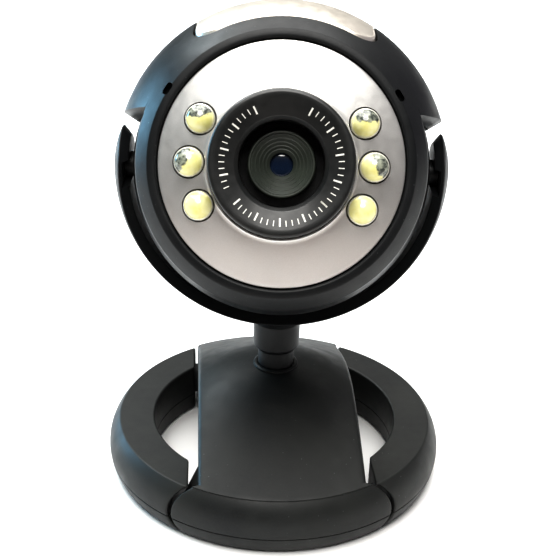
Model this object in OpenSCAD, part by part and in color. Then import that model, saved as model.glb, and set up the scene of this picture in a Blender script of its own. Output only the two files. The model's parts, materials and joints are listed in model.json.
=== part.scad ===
// Small clip-on webcam: a round camera head held in a C-shaped yoke, which swivels
// on the bridge of a ring-shaped folding clip that also serves as the desk stand.
// Millimetres. Z is up, the front faces -Y, the origin is the centre of the stand on the desk.

/* [Head] */
// Radius of the hood and bezel sphere
hood_r = 27.4; // [27:0.1:28]
// Radius of the inner cup, which the yoke passes over
cup_r = 24.5; // [24.2:0.1:24.6]
// Wall thickness of the cup
cup_wall = 1.8; // [1.4:0.1:2]
// Height of the head's centre above the desk
head_z = 57; // [56.5:0.5:60]
// Backward lean of the head as it stands
tilt_back = 21.5; // [0:0.5:30]
// Turn of the yoke on the bridge as it stands
swivel = -4.3; // [-20:0.1:20]

/* [Face] */
// Outer radius of the face plate
plate_r = 18.7; // [18.5:0.05:18.8]
// Radius of the circle of lamps
led_ring_r = 13.9; // [13.85:0.05:14]
// Angle between neighbouring lamps
led_step = 27.7; // [26:0.1:30]
// Diameter of one lamp
led_d = 4.6; // [4.2:0.1:4.6]
// Outer radius of the focus ring
ring_r = 10.85; // [10.7:0.05:10.85]
// Radius of the opening in the focus ring
ring_bore_r = 6.4; // [6.2:0.1:6.6]

/* [Yoke] */
// Outer radius of the yoke at its middle
yoke_r = 27.7; // [27.6:0.1:28]
// Inner radius of the yoke
yoke_in_r = 24.9; // [24.8:0.05:25]
// Width of the yoke, front to back
yoke_w = 13; // [12:0.5:13]
// Diameter of the stem
stem_d = 8.2; // [8:0.1:9]
// Diameter of the neck that turns in the bridge
neck_d = 6.4; // [6:0.1:6.6]

/* [Stand] */
// Widest radius of the stand
base_r = 30.2; // [30:0.1:30.4]
// Outer radius of the stand's flat top
top_out_r = 28.2; // [28:0.1:28.4]
// Inner radius of the stand
base_in_r = 21.9; // [21.8:0.1:22]
// Height of the stand's flat top
base_h = 9.6; // [9.5:0.1:9.8]
// Height of the seam between upper and lower shells
seam_z = 3.6; // [3.4:0.1:3.8]
// Height of the bridge at the stem
crown_z = 20; // [19.8:0.1:20.2]
// Half width of the bridge
bridge_hw = 14; // [13.8:0.1:14]
// Clearance between the bridge and the legs
leg_gap = 0.7; // [0.6:0.1:0.8]

/* [Hidden] */
$fn = 96;
far = 80;
eps = 0.02;

// Head, measured along the optical axis from the head's centre
bezel_back_t = 12.1;
hood_seam_t = 15.6;
plate_edge_t = 18.2;
plate_mid_t = 20.4;
plate_seat_t = 17.2;
ledge_t = 12.3;
ledge_r = 16.4;
spigot_r = 18.95;
spigot_wall = 0.95;
spigot_end_t = 9.6;
hood_gap = 0.5;
hood_edge_w = 7.2;
cup_front_t = 12;
pillar_at = [[14.4, 8.3], [-14.4, 8.3], [0, -16.6]];
pillar_meet_t = 1;
screw_seat_t = -3;
trunnion_r = 2.1;
trunnion_end = 26.6;
vent_w = 1.2;

// Snapshot button
button_hw = 14;
button_back_t = -9;
button_front_t = 15;
button_corner = 4;
button_gap = 0.35;
button_skin = 1.5;
button_travel = 0.6;
plunger_t = -5.4;
plunger_r = 1.6;
switch_top_w = 15.5;

// Optics
barrel_r = 5;
thread_r = 5.95;
holder_bore_r = 6;
holder_out_r = 7.6;
barrel_front_t = 21.5;
lens_r = 4.1;
key_w = 1.6;
board_front_t = -2;
board_t = 1.6;
board_hw = 11;
board_top_w = 13;
board_low_w = -12;

// Stand
desk_gap = 0.4;
pad_top = 1;
floor_z = 1.9;
bulge_z = 4.6;
bulge_r = 7.25;
bulge_at = base_r - bulge_r;
bridge_t = 2;
lip_y = -23.7;
leg_front_y = -23.2;
leg_front_x = 15.6;
leg_rear_x = bridge_hw + leg_gap;
hinge_y = 20;
hinge_z = 5;
barrel_out_r = 2.8;
barrel_hl = 18.4;
pin_r = 1;
spring_bay_hw = 6;
spring_mean_r = 3.4;
spring_wire_r = 0.3;
neck_end_z = 12.9;
boss_end_z = 13.7;
cover_top_z = 9.8;
cover_t = 1.2;
fit = 0.05;

// ---------- frames ----------
module in_yoke() {
    translate([0, 0, head_z]) rotate([0, 0, swivel]) children();
}

// Optical frame: X right, Y up the face, Z forward along the lens axis
module in_head() {
    in_yoke() rotate([90 - tilt_back, 0, 0]) children();
}

module both_x() {
    children();
    mirror([1, 0, 0]) children();
}

// ---------- outlines ----------
function arc(c, r, a0, a1, n) =
    [for (i = [0:n]) c + r * [cos(a0 + (a1 - a0) * i / n), sin(a0 + (a1 - a0) * i / n)]];

function on_hood(t) = sqrt(hood_r * hood_r - t * t);

// The stand's ring between two heights, shrunk inside its outline by the given wall
module ring_solid(low, high, wall = 0) {
    rotate_extrude() intersection() {
        translate([bulge_at, bulge_z]) circle(bulge_r - wall);
        translate([base_in_r + wall, low]) square([base_r, high - low]);
    }
}

// Height of the bridge's upper face at radius r from the stem
dome_cap_r = 30;
dome_cap_at = 11;
dome_low_z = base_h + 0.3;
cap_drop = dome_cap_r - sqrt(dome_cap_r * dome_cap_r - dome_cap_at * dome_cap_at);
module dome_section(drop = 0) {
    cap = arc([0, crown_z - dome_cap_r], dome_cap_r, 90, 90 - asin(dome_cap_at / dome_cap_r), 12);
    polygon(concat([[0, -drop]], [for (p = cap) p - [0, drop]],
                   [[top_out_r, dome_low_z - drop], [top_out_r, -drop]]));
}

// ---------- hardware ----------
module screw(length, shank_r, head_r, head_h) {
    difference() {
        union() {
            cylinder(h = length, r = shank_r);
            translate([0, 0, -head_h]) cylinder(h = head_h, r = head_r);
        }
        for (a = [0, 90]) {
            rotate([0, 0, a]) translate([-head_r * 0.6, -0.2, -head_h - 1])
                cube([head_r * 1.2, 0.4, 1.5]);
        }
    }
}

module slot2d(length, width) {
    square([length - width, width], center = true);
    for (s = [-1, 1]) translate([s * (length - width) / 2, 0]) circle(width / 2);
}

module round_rect(x0, x1, y0, y1, r) {
    translate([x0 + r, y0]) square([x1 - x0 - 2 * r, y1 - y0]);
    translate([x0, y0 + r]) square([x1 - x0, y1 - y0 - 2 * r]);
    for (x = [x0 + r, x1 - r]) {
        for (y = [y0 + r, y1 - r]) translate([x, y]) circle(r);
    }
}

// ---------- stand: bridge with front lip ----------
module bridge_block() {
    // Strap between the rear hinge and the lip, as deep as the stand
    intersection() {
        difference() {
            rotate_extrude() dome_section();
            difference() {
                rotate_extrude() dome_section(bridge_t);
                for (s = [-1, 1]) {
                    translate([s * (bridge_hw - 0.8), 0, cover_top_z + far / 2])
                        cube([1.8, far, far], center = true);
                }
            }
        }
        translate([-bridge_hw, -far, cover_top_z - cover_t]) cube([2 * bridge_hw, 2 * far, far]);
    }
}

module rear_block() {
    intersection() {
        union() {
            ring_solid(desk_gap, base_h);
            translate([-bridge_hw, 14, desk_gap]) cube([2 * bridge_hw, 10, base_h - desk_gap]);
        }
        translate([-bridge_hw, 15.4, 0]) cube([2 * bridge_hw, far, far]);
    }
}

module lip_solid(low, high) {
    intersection() {
        ring_solid(low, high);
        union() {
            translate([-bridge_hw, -far, 0]) cube([2 * bridge_hw, far - 13, far]);
            translate([-far, lip_y - far, 0]) cube([2 * far, far, far]);
        }
    }
}

module lip_hollow(low, high) {
    intersection() {
        ring_solid(low, high, 1.6);
        translate([-12.2, -far, 0]) cube([24.4, far - 14, far]);
    }
}

lip_screw_at = [[10, -23.4], [-10, -23.4]];
cover_screw_at = [[9.6, 11.5], [-9.6, 11.5], [9.6, -11.5], [-9.6, -11.5]];

module stem_boss() {
    translate([0, 0, boss_end_z]) cylinder(h = crown_z - 1 - boss_end_z, r = 6.4);
}

module bridge_shell() color([0.13, 0.14, 0.14]) {
    difference() {
        union() {
            bridge_block();
            stem_boss();
            rear_block();
            difference() {
                lip_solid(seam_z, base_h);
                lip_hollow(seam_z - 1, base_h - 1.6);
            }
            for (p = lip_screw_at) translate([p[0], p[1], seam_z]) cylinder(h = 5, r = 2);
            for (p = cover_screw_at) {
                translate([p[0], p[1], cover_top_z]) cylinder(h = 4.5, r = 2.2);
            }
        }
        translate([0, 0, neck_end_z]) cylinder(h = far, r = neck_d / 2 + fit);
        translate([-far, hinge_y, hinge_z]) rotate([0, 90, 0])
            cylinder(h = 2 * far, r = barrel_out_r + fit);
        translate([-spring_bay_hw, hinge_y, hinge_z]) rotate([0, 90, 0])
            cylinder(h = 2 * spring_bay_hw, r = 4.1);
        translate([-10, 17.5, 0]) cube([20, 6, pad_top]);
        for (p = lip_screw_at) translate([p[0], p[1], seam_z - eps]) cylinder(h = 3.6, r = 0.8);
        for (p = cover_screw_at) {
            translate([p[0], p[1], cover_top_z - 1]) cylinder(h = 4.4, r = 0.8);
        }
    }
}

module lip_base() color([0.12, 0.13, 0.14]) {
    difference() {
        lip_solid(desk_gap, seam_z);
        difference() {
            lip_hollow(floor_z, seam_z + 1);
            for (p = lip_screw_at) translate([p[0], p[1], 0]) cylinder(h = seam_z, r = 2.4);
        }
        intersection() {
            rotate_extrude() translate([23.4, 0]) square([4.2, pad_top]);
            translate([-7.1, -far, 0]) cube([14.2, far, far]);
        }
        for (p = lip_screw_at) {
            translate([p[0], p[1], 0]) cylinder(h = seam_z + 1, r = 1.1);
            translate([p[0], p[1], 0]) cylinder(h = 1.7, r = 2.05);
        }
    }
}

module bridge_cover() color([0.10, 0.10, 0.11]) {
    difference() {
        translate([-12, -13.8, cover_top_z - cover_t]) cube([24, 28, cover_t]);
        for (p = cover_screw_at) translate([p[0], p[1], 0]) cylinder(h = far, r = 1.1);
    }
}

module bridge_pads() color([0.20, 0.20, 0.20]) {
    intersection() {
        rotate_extrude() translate([23.5, 0]) square([4, pad_top]);
        translate([-7, -far, 0]) cube([14, far, far]);
    }
    translate([-9.9, 17.6, 0]) cube([19.8, 5.8, pad_top]);
}

module bridge_screws() color("silver") {
    for (p = lip_screw_at) translate([p[0], p[1], 1.7]) screw(4.4, 0.8, 1.9, 1);
    for (p = cover_screw_at) {
        translate([p[0], p[1], cover_top_z - cover_t]) screw(4.2, 0.8, 1.9, 1);
    }
}

// Torsion spring: a leg, the coils round the hinge barrel, and a second leg
spring_turns = 7;
spring_step = 18;
spring_len = 9.6;
function coil_point(i, n) =
    let (a = 100 + 360 * spring_turns * i / n)
    [-spring_len / 2 + spring_len * i / n,
     hinge_y + spring_mean_r * cos(a), hinge_z + spring_mean_r * sin(a)];
function coil_out(i, n) =
    let (a = 100 + 360 * spring_turns * i / n) [0, cos(a), sin(a)];

module clip_spring() color("gray") {
    n = round(360 / spring_step) * spring_turns;
    sides = 8;
    points = [for (i = [0:n]) for (k = [0:sides - 1])
        coil_point(i, n) + spring_wire_r * cos(360 * k / sides) * coil_out(i, n)
            + spring_wire_r * sin(360 * k / sides) * [1, 0, 0]];
    skin = [for (i = [0:n - 1]) for (k = [0:sides - 1])
        [i * sides + k, i * sides + (k + 1) % sides,
         (i + 1) * sides + (k + 1) % sides, (i + 1) * sides + k]];
    polyhedron(points, concat([[for (k = [sides - 1:-1:0]) k]], skin,
                              [[for (k = [0:sides - 1]) n * sides + k]]));
}

module spring_washer() color("silver") {
    translate([0, 0, neck_end_z + 0.1]) difference() {
        cylinder(h = 0.5, r = 5.2);
        translate([0, 0, -1]) cylinder(h = 3, r = neck_d / 2 + 0.3);
    }
}

// ---------- stand: folding legs ----------
leg_screw_angle = [-36, 22];
leg_screw_r = 25.4;
module at_leg_screws() {
    for (a = leg_screw_angle) {
        translate([leg_screw_r * cos(a), leg_screw_r * sin(a), 0]) children();
    }
}

// The legs end at flat cuts beside the bridge and behind the lip
module leg_region() {
    translate([0, 0, -1]) linear_extrude(far) polygon([
        [leg_front_x, leg_front_y], [far, leg_front_y], [far, far], [leg_rear_x, far],
        [leg_rear_x, 0], [leg_front_x, 0]]);
}

module leg_solid(low, high) {
    intersection() {
        ring_solid(low, high);
        leg_region();
    }
}

module leg_hollow(low, high) {
    intersection() {
        ring_solid(low, high, 1.5);
        translate([17.4, -20.5, 0]) cube([far, 34, far]);
    }
}

module hinge_bore(r) {
    translate([0, hinge_y, hinge_z]) rotate([0, 90, 0]) cylinder(h = barrel_hl, r = r);
}

module leg_top() {
    difference() {
        leg_solid(seam_z, base_h);
        difference() {
            leg_hollow(seam_z - 1, base_h - 1.5);
            at_leg_screws() cylinder(h = far, r = 2);
        }
        at_leg_screws() translate([0, 0, seam_z - eps]) cylinder(h = 4, r = 0.8);
        hinge_bore(barrel_out_r + 0.02);
        translate([0, hinge_y, hinge_z]) rotate([0, 90, 0]) cylinder(h = 19.2, r = pin_r + 0.02);
    }
}

module leg_bottom() {
    difference() {
        leg_solid(desk_gap, seam_z);
        difference() {
            leg_hollow(floor_z, seam_z + 1);
            at_leg_screws() cylinder(h = far, r = 2.4);
        }
        intersection() {
            rotate_extrude() translate([23.4, 0]) square([4.2, pad_top]);
            translate([0, -8.1, 0]) cube([far, 13.2, far]);
        }
        at_leg_screws() cylinder(h = seam_z + 1, r = 1.1);
        at_leg_screws() cylinder(h = 1.7, r = 2.05);
        hinge_bore(barrel_out_r + 0.02);
    }
}

module right_leg_top() color([0.22, 0.23, 0.21]) leg_top();
module right_leg_bottom() color([0.16, 0.17, 0.17]) leg_bottom();
module left_leg_top() color([0.22, 0.23, 0.21]) mirror([1, 0, 0]) leg_top();
module left_leg_bottom() color([0.16, 0.17, 0.17]) mirror([1, 0, 0]) leg_bottom();

module hinge_barrel() color([0.3, 0.3, 0.32]) {
    translate([-barrel_hl, hinge_y, hinge_z]) rotate([0, 90, 0]) difference() {
        cylinder(h = 2 * barrel_hl, r = barrel_out_r);
        translate([0, 0, -1]) cylinder(h = far, r = pin_r + 0.02);
    }
}

module hinge_pin() color("silver") {
    pin_hl = 19.2;
    translate([-pin_hl, hinge_y, hinge_z]) rotate([0, 90, 0]) cylinder(h = 2 * pin_hl, r = pin_r);
}

module leg_screws() color("silver") {
    both_x() at_leg_screws() translate([0, 0, 1.7]) screw(4.6, 0.8, 1.9, 1);
}

module leg_pads() color([0.20, 0.20, 0.20]) {
    both_x() intersection() {
        rotate_extrude() translate([23.5, 0]) square([4, pad_top]);
        translate([0, -8, 0]) cube([far, 13, far]);
    }
}

// ---------- yoke ----------
yoke_edge_r = 26.3;
yoke_arm_r = yoke_w / 2 + 0.1;
yoke_over = 17;
crown_rise = yoke_r - yoke_edge_r;
crown_r = (yoke_w * yoke_w / 4 + crown_rise * crown_rise) / (2 * crown_rise);
stem_end_z = -33.5;

module yoke_section() {
    hw = yoke_w / 2;
    intersection() {
        translate([yoke_r - crown_r, 0]) circle(crown_r);
        polygon([[yoke_in_r, 1.6 - hw], [yoke_in_r, hw - 1.6], [yoke_edge_r - 0.4, hw],
                 [far, hw], [far, -hw], [yoke_edge_r - 0.4, -hw]]);
    }
}

module yoke() color([0.12, 0.13, 0.15]) in_yoke() {
    difference() {
        union() {
            intersection() {
                rotate([90, 0, 0]) rotate([0, 0, -180 - yoke_over])
                    rotate_extrude(angle = 180 + 2 * yoke_over) yoke_section();
                union() {
                    translate([-far / 2, 0, 0]) rotate([0, 90, 0]) cylinder(h = far, r = yoke_arm_r);
                    translate([-far, -far, -far]) cube([2 * far, 2 * far, far]);
                }
            }
            translate([0, 0, stem_end_z]) rotate_extrude() polygon([
                [0, 0], [stem_d / 2 - 0.5, 0], [stem_d / 2, 0.7], [stem_d / 2, 7.8], [0, 7.8]]);
            translate([0, 0, neck_end_z - head_z])
                cylinder(h = stem_end_z - neck_end_z + head_z + 1, r = neck_d / 2);
        }
        // Blind sockets for the trunnions, with the lead-in channels they slide along
        both_x() translate([yoke_in_r - 2, 0, 0]) rotate([0, 90, 0])
            cylinder(h = trunnion_end + 0.15 - yoke_in_r + 2, r = trunnion_r + fit);
        both_x() translate([yoke_in_r - 2, -yoke_w, -trunnion_r])
            cube([2.9, yoke_w, 2 * trunnion_r]);
        translate([0, 0, neck_end_z - head_z - 1]) cylinder(h = 9, r = 1.1);
    }
}

module swivel_washer() color("silver") {
    translate([0, 0, neck_end_z - 0.9]) difference() {
        cylinder(h = 0.8, r = 5.6);
        translate([0, 0, -1]) cylinder(h = 3, r = 1.3);
    }
}

module swivel_screw() color("silver") {
    translate([0, 0, neck_end_z - 1]) screw(7.5, 1.05, 2.6, 1.2);
}

// ---------- head housing ----------
module button_outline(grow) {
    round_rect(-button_hw - grow, button_hw + grow, button_back_t - grow,
               button_front_t + grow, button_corner + grow);
}

// Column above the button outline, standing on the lens axis
module button_column(grow) {
    translate([0, far, 0]) rotate([90, 0, 0]) linear_extrude(far) button_outline(grow);
}

mic_slot_r = 20.6;
module mic_slot(side) {
    rotate([0, 0, 90 - side * 58]) translate([mic_slot_r, 0, bezel_back_t - 1]) rotate([0, 0, 90])
        linear_extrude(8) slot2d(2, 1);
}

module hood_bezel() color([0.11, 0.12, 0.14]) in_head() {
    n = 14;
    lip_r = plate_r + 0.25;
    seat_r = plate_r - 1.2;
    side_r = on_hood(hood_seam_t) - 0.1;
    a0 = asin((hood_seam_t + 0.2) / hood_r);
    a1 = acos((lip_r + 1.45) / hood_r);
    difference() {
        union() {
            rotate_extrude() polygon(concat(
                [[side_r, hood_seam_t]], arc([0, 0], hood_r, a0, a1, n),
                [[lip_r + 0.95, plate_edge_t + 0.22], [lip_r + 0.35, plate_edge_t + 0.3],
                 [lip_r, plate_edge_t + 0.1], [lip_r, plate_seat_t], [seat_r, plate_seat_t],
                 [seat_r, ledge_t], [ledge_r, ledge_t], [ledge_r, ledge_t - 1],
                 [spigot_r - spigot_wall, ledge_t - 1], [spigot_r - spigot_wall, spigot_end_t],
                 [spigot_r, spigot_end_t], [spigot_r, bezel_back_t], [side_r, bezel_back_t]]));
            difference() {
                sphere(hood_r);
                sphere(cup_r + hood_gap);
                translate([-far, -far, -far]) cube([2 * far, far + hood_edge_w, 2 * far]);
                translate([-far, -far, hood_seam_t - 0.1]) cube([2 * far, 2 * far, far]);
            }
            for (p = pillar_at) translate([p[0], p[1], pillar_meet_t]) {
                cylinder(h = ledge_t - pillar_meet_t, r = 2);
            }
        }
        difference() {
            button_column(button_gap);
            sphere(cup_r + hood_gap - 0.1);
        }
        for (side = [-1, 1]) mic_slot(side);
        for (p = pillar_at) translate([p[0], p[1], pillar_meet_t - eps]) cylinder(h = 8, r = 0.9);
    }
}

module cup_inside() {
    sphere(cup_r - cup_wall);
}

board_boss_at = [[9, -8.5], [-9, -8.5]];
module rear_cup() color([0.10, 0.11, 0.12]) in_head() {
    difference() {
        union() {
            difference() {
                sphere(cup_r);
                cup_inside();
            }
            intersection() {
                sphere(cup_r - 0.5);
                union() {
                    for (p = pillar_at) translate([p[0], p[1], -far]) {
                        cylinder(h = far + pillar_meet_t, r = 3);
                    }
                    for (p = board_boss_at) translate([p[0], p[1], -far]) {
                        cylinder(h = far + board_front_t - board_t, r = 1.9);
                    }
                }
            }
            both_x() translate([cup_r - 1, 0, 0]) rotate([0, 90, 0])
                cylinder(h = trunnion_end - cup_r + 1, r = trunnion_r);
        }
        translate([-far, -far, cup_front_t]) cube([2 * far, 2 * far, far]);
        for (p = pillar_at) {
            translate([p[0], p[1], -far]) cylinder(h = far + screw_seat_t, r = 2.1);
            translate([p[0], p[1], -far]) cylinder(h = 2 * far, r = 1.1);
        }
        for (p = board_boss_at) {
            translate([p[0], p[1], -12]) cylinder(h = 12, r = 0.7);
        }
        translate([0, far, plunger_t]) rotate([90, 0, 0]) cylinder(h = far - 5, r = plunger_r + 0.5);
        translate([0, 0, -far]) cylinder(h = far, r = 3);
        for (s = [-1, 1]) {
            for (i = [0:2]) translate([s * (8.2 + 2.4 * i), 0, -far]) {
                linear_extrude(far - 10) rotate([0, 0, 90]) slot2d(9 - 1.6 * i, vent_w);
            }
        }
    }
}

module face_plate() color([0.80, 0.80, 0.78]) in_head() {
    hole_r = ring_r + 0.25;
    difference() {
        rotate_extrude() polygon([
            [plate_r, plate_seat_t], [plate_r, plate_edge_t - 0.15], [plate_r - 0.15, plate_edge_t],
            [hole_r + 0.4, plate_mid_t], [hole_r + 0.25, plate_mid_t + 0.15],
            [hole_r, plate_mid_t + 0.1],
            [hole_r, plate_mid_t - 1.1], [plate_r - 1.2, plate_seat_t]]);
        at_leds() cylinder(h = far, r = led_d / 2 + 0.2);
    }
}

module housing_screws() color("silver") in_head() {
    for (p = pillar_at) translate([p[0], p[1], screw_seat_t]) screw(10, 0.88, 1.95, 1.4);
}

gland_out_t = -27.6;
module cable_gland() color([0.15, 0.15, 0.15]) in_head() {
    rotate_extrude() polygon([
        [2.05, -22], [3.9, -22], [3.9, -22.3], [2.95, -22.3], [2.95, -24.6],
        [4.4, -24.6], [4, gland_out_t + 0.8], [3.2, gland_out_t], [2.05, gland_out_t]]);
}

// ---------- electronics ----------
module main_board() color([0.05, 0.30, 0.12]) in_head() {
    translate([0, 0, board_front_t - board_t]) difference() {
        translate([-board_hw, board_low_w, 0])
            cube([2 * board_hw, board_top_w - board_low_w, board_t]);
        for (p = board_boss_at) translate([p[0], p[1], -1]) cylinder(h = 4, r = 0.9);
    }
}

module board_screws() color("silver") in_head() {
    for (p = board_boss_at) translate([p[0], p[1], board_front_t]) rotate([180, 0, 0]) {
        screw(6, 0.68, 1.5, 0.9);
    }
}

sensor_h = 1;
module image_sensor() color([0.25, 0.22, 0.3]) in_head() {
    translate([-3.2, -3.2, board_front_t]) cube([6.4, 6.4, sensor_h]);
}

module controller_chip() color([0.08, 0.08, 0.08]) in_head() {
    translate([-7.5, -5, board_front_t - board_t - 1.1]) cube([7, 7, 1.1]);
}

module board_header() color([0.9, 0.88, 0.8]) in_head() {
    translate([-4.5, -11.5, board_front_t - board_t - 4.2]) difference() {
        cube([9, 4, 4.2]);
        translate([0.6, 0.6, -1]) cube([7.8, 2.8, 4.2]);
    }
}

module tact_switch() color([0.2, 0.2, 0.2]) in_head() {
    translate([-3, 8, board_front_t - board_t - 3.6]) cube([6, 6, 3.6]);
    translate([0, switch_top_w, plunger_t]) rotate([90, 0, 0]) cylinder(h = 1.6, r = 1.5);
}

module lens_holder() color([0.07, 0.07, 0.08]) in_head() {
    base_hw = 7.4;
    base_top_t = 1.2;
    difference() {
        union() {
            translate([-base_hw, -base_hw, board_front_t])
                cube([2 * base_hw, 2 * base_hw, base_top_t - board_front_t]);
            translate([-10.4, -2.2, board_front_t]) cube([20.8, 4.4, 1.6]);
            translate([0, 0, 0]) cylinder(h = ledge_t - 0.4, r = holder_out_r);
        }
        translate([-4, -4, board_front_t - 1]) cube([8, 8, 2.8]);
        translate([-4.6, -4.6, board_front_t + 1.7]) cube([9.2, 9.2, 0.9]);
        translate([0, 0, board_front_t + 2.5]) cylinder(h = far, r = holder_bore_r);
        both_x() translate([9, 0, board_front_t - 1]) cylinder(h = 4, r = 0.75);
    }
}

module holder_screws() color("silver") in_head() {
    both_x() translate([9, 0, board_front_t + 1.6]) rotate([180, 0, 0]) screw(1.55, 0.7, 1.3, 0.8);
}

module ir_filter() color([0.75, 0.3, 0.3, 0.6]) in_head() {
    translate([-4.5, -4.5, board_front_t + 1.85]) cube([9, 9, 0.5]);
}

// ---------- lamps ----------
module at_leds() {
    for (side = [0, 180]) {
        for (i = [-1:1]) rotate([0, 0, side + i * led_step]) translate([led_ring_r, 0, 0]) children();
    }
}

led_board_t = 1.2;
led_foot_t = ledge_t + led_board_t + 1;
led_flange_r = 2.6;
led_board_r = 17.2;
led_shoulder_t = 19.4;
module led_board() color([0.85, 0.87, 0.85]) in_head() {
    translate([0, 0, ledge_t]) difference() {
        cylinder(h = led_board_t, r = led_board_r);
        translate([0, 0, -1]) cylinder(h = 4, r = 9);
        at_leds() {
            for (s = [-1, 1]) translate([0, s * 1.27, -1]) cylinder(h = 4, r = 0.35);
        }
    }
}

module led_lamps() color([0.95, 0.93, 0.6]) in_head() {
    at_leds() {
        translate([0, 0, led_foot_t]) cylinder(h = 0.8, r = led_flange_r);
        translate([0, 0, led_foot_t]) cylinder(h = led_shoulder_t - led_foot_t, r = led_d / 2);
        translate([0, 0, led_shoulder_t]) intersection() {
            sphere(led_d / 2);
            translate([-led_d, -led_d, 0]) cube(2 * led_d);
        }
    }
}

module led_leads() color("silver") in_head() {
    at_leds() {
        for (s = [-1, 1]) translate([0, s * 1.27, ledge_t - 0.6]) {
            cylinder(h = led_foot_t - ledge_t + 0.6, r = 0.25);
        }
    }
}

module microphone() color("silver") in_head() {
    rotate([0, 0, 62]) translate([led_ring_r, 0, ledge_t - 2]) cylinder(h = 2, r = 2.2);
}

// ---------- optics ----------
ring_front_t = 25.5;
ring_back_t = 16.6;
web_back_t = 15.6;
web_front_t = 17.4;
hollow_r = 7.6;
module focus_ring() color([0.04, 0.04, 0.05]) in_head() {
    rotate_extrude() polygon(concat(
        [[ring_r + 0.45, ring_back_t], [ring_r + 0.45, ring_back_t + 1], [ring_r, ring_back_t + 1]],
        arc([ring_r - 0.8, ring_front_t - 0.8], 0.8, 0, 90, 6),
        [[ring_bore_r + 0.4, ring_front_t - 0.9], [ring_bore_r, ring_front_t - 1.3],
         [ring_bore_r, web_front_t], [barrel_r + 0.25, web_front_t],
         [barrel_r + 0.25, web_back_t], [hollow_r, web_back_t], [hollow_r, 23.2],
         [ring_r - 1.2, 23.8], [ring_r - 1.2, ring_back_t]]));
    for (s = [0, 180]) rotate([0, 0, s]) {
        translate([barrel_r - 0.3, -key_w / 2, web_back_t])
            cube([0.8, key_w, web_front_t - web_back_t]);
    }
}

module lens_barrel() color([0.05, 0.05, 0.06]) in_head() {
    difference() {
        rotate_extrude() polygon([
            [thread_r, 4], [thread_r, 13.4], [barrel_r + 0.2, 13.4], [barrel_r + 0.2, 19.4],
            [barrel_r, 19.6], [barrel_r, barrel_front_t - 0.2],
            [barrel_r - 0.2, barrel_front_t], [4.4, barrel_front_t],
            [4.4, 21.1], [3.8, 21.1], [3.8, 20.7], [3.2, 20.7], [3.2, 20.3], [2.6, 20.3],
            [2.6, 19.9], [1.75, 19.5], [1.75, 18.9], [lens_r + 0.1, 18.9],
            [lens_r + 0.1, 4]]);
        for (s = [0, 180]) rotate([0, 0, s]) {
            translate([barrel_r - 0.5, -key_w / 2 - 0.1, 14]) cube([3, key_w + 0.2, 4.9]);
        }
    }
}

// A round lens between two spherical faces, each given by its rise at the middle
module lens(back_t, edge, front_rise, back_rise, r) {
    fr = (r * r + front_rise * front_rise) / (2 * front_rise);
    br = (r * r + back_rise * back_rise) / (2 * back_rise);
    rotate_extrude() polygon(concat(
        [[0, back_t - back_rise]],
        [for (i = [1:8]) [r * i / 8,
            back_t - back_rise + br - sqrt(br * br - pow(r * i / 8, 2))]],
        [for (i = [8:-1:0]) [r * i / 8,
            back_t + edge + front_rise - fr + sqrt(fr * fr - pow(r * i / 8, 2))]]));
}

module front_lens() color([0.55, 0.65, 0.8, 0.6]) in_head() {
    lens(16.2, 1.6, 1.0, 0.4, lens_r);
}

spacer_back_t = 9.95;
spacer_len = 6.1;
module lens_spacer() color([0.05, 0.05, 0.05]) in_head() {
    translate([0, 0, spacer_back_t]) difference() {
        cylinder(h = spacer_len, r = lens_r);
        translate([0, 0, -1]) cylinder(h = far, r = 2.9);
        translate([0, 0, -1]) cylinder(h = 1.5, r = 3.7);
        translate([0, 0, spacer_len - 1]) cylinder(h = 2, r = 3.5);
    }
}

module rear_lens() color([0.55, 0.65, 0.8, 0.6]) in_head() {
    lens(8.6, 1.2, 0.5, 0.9, lens_r);
}

module lens_retainer() color([0.05, 0.05, 0.05]) in_head() {
    translate([0, 0, 5.4]) difference() {
        cylinder(h = 2.85, r = lens_r);
        translate([0, 0, -1]) cylinder(h = 5, r = 3.4);
    }
}

// ---------- snapshot button ----------
module snapshot_button() color([0.83, 0.81, 0.74]) in_head() {
    intersection() {
        difference() {
            sphere(hood_r - 0.05);
            sphere(hood_r - button_skin);
        }
        button_column(0);
    }
    translate([0, hood_r - 0.8, plunger_t]) rotate([90, 0, 0]) {
        cylinder(h = hood_r - 0.8 - switch_top_w - button_travel - 0.1, r = plunger_r);
    }
}

// ---------- assembly ----------
bridge_shell();
lip_base();
bridge_cover();
bridge_pads();
bridge_screws();
clip_spring();
spring_washer();
left_leg_top();
left_leg_bottom();
right_leg_top();
right_leg_bottom();
hinge_barrel();
hinge_pin();
leg_screws();
leg_pads();
yoke();
swivel_washer();
swivel_screw();
hood_bezel();
rear_cup();
face_plate();
housing_screws();
cable_gland();
main_board();
board_screws();
image_sensor();
controller_chip();
board_header();
tact_switch();
lens_holder();
holder_screws();
ir_filter();
led_board();
led_lamps();
led_leads();
microphone();
focus_ring();
lens_barrel();
front_lens();
lens_spacer();
rear_lens();
lens_retainer();
snapshot_button();
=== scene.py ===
"""Round clip-on webcam with six lamps, a yoke and a folding ring stand: the looks round the CAD frame.

Shapes are worked out in millimetres, in one of three frames (the lens axis, the yoke, the stand),
and are placed in the scene in metres. Every size that a joint or a fit depends on is the CAD part's.
"""

import json
import math

import bmesh
import bpy
import numpy as np
from mathutils import Matrix, Vector


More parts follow.
